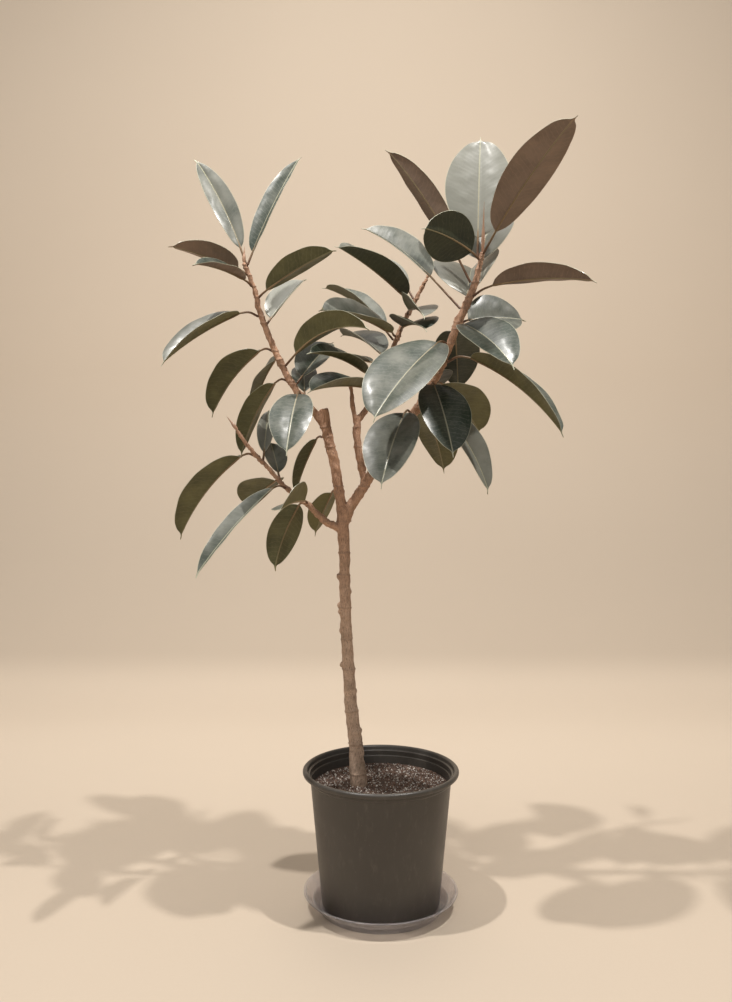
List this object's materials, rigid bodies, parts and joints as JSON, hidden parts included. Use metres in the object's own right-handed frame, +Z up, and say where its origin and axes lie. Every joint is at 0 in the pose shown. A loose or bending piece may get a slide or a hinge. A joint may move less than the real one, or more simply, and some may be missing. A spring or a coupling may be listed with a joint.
{
  "type": "potted rubber plant",
  "caption": "Rubber plant with a forked woody stem and folded oval leaves, in a black nursery container on a clear saucer.",
  "frame": {"origin": "on the floor under the middle of the saucer, on its flat foot", "axes": "+Z up along the stem, +X to the plant's right, -Y to its front"},
  "size_m": [0.6887, 0.4438, 1.3386],
  "materials": {
    "leaf": "satin",
    "bud_sheath": "satin",
    "bark": "matte",
    "potting_mix": "matte",
    "pot_plastic": "satin",
    "clear_plastic": "gloss"
  },
  "bodies": {
    "root": {"bud_left": "bud_sheath", "bud_low": "bud_sheath", "bud_middle": "bud_sheath", "bud_right": "bud_sheath", "leaf_left_01": "leaf", "leaf_left_02": "leaf", "leaf_left_03": "leaf", "leaf_left_04": "leaf", "leaf_left_05": "leaf", "leaf_left_06": "leaf", "leaf_left_07": "leaf", "leaf_left_08": "leaf", "leaf_left_09": "leaf", "leaf_left_10": "leaf", "leaf_left_11": "leaf", "leaf_left_12": "leaf", "leaf_left_13": "leaf", "leaf_left_14": "leaf", "leaf_left_15": "leaf", "leaf_low_01": "leaf", "leaf_low_02": "leaf", "leaf_low_03": "leaf", "leaf_low_04": "leaf", "leaf_low_05": "leaf", "leaf_low_06": "leaf", "leaf_low_07": "leaf", "leaf_low_08": "leaf", "leaf_middle_01": "leaf", "leaf_middle_02": "leaf", "leaf_middle_03": "leaf", "leaf_middle_04": "leaf", "leaf_middle_05": "leaf", "leaf_middle_06": "leaf", "leaf_middle_07": "leaf", "leaf_middle_08": "leaf", "leaf_middle_09": "leaf", "leaf_middle_10": "leaf", "leaf_right_01": "leaf", "leaf_right_02": "leaf", "leaf_right_03": "leaf", "leaf_right_04": "leaf", "leaf_right_05": "leaf", "leaf_right_06": "leaf", "leaf_right_07": "leaf", "leaf_right_08": "leaf", "leaf_right_09": "leaf", "leaf_right_10": "leaf", "leaf_right_11": "leaf", "leaf_right_12": "leaf", "leaf_right_13": "leaf", "leaf_right_14": "leaf", "leaf_right_15": "leaf", "leaf_right_16": "leaf", "leaf_right_17": "leaf", "leaf_right_18": "leaf", "leaf_right_19": "leaf", "pot": "pot_plastic", "saucer": "clear_plastic", "soil": "potting_mix", "trunk_and_branches": "bark"}
  },
  "joints": []
}
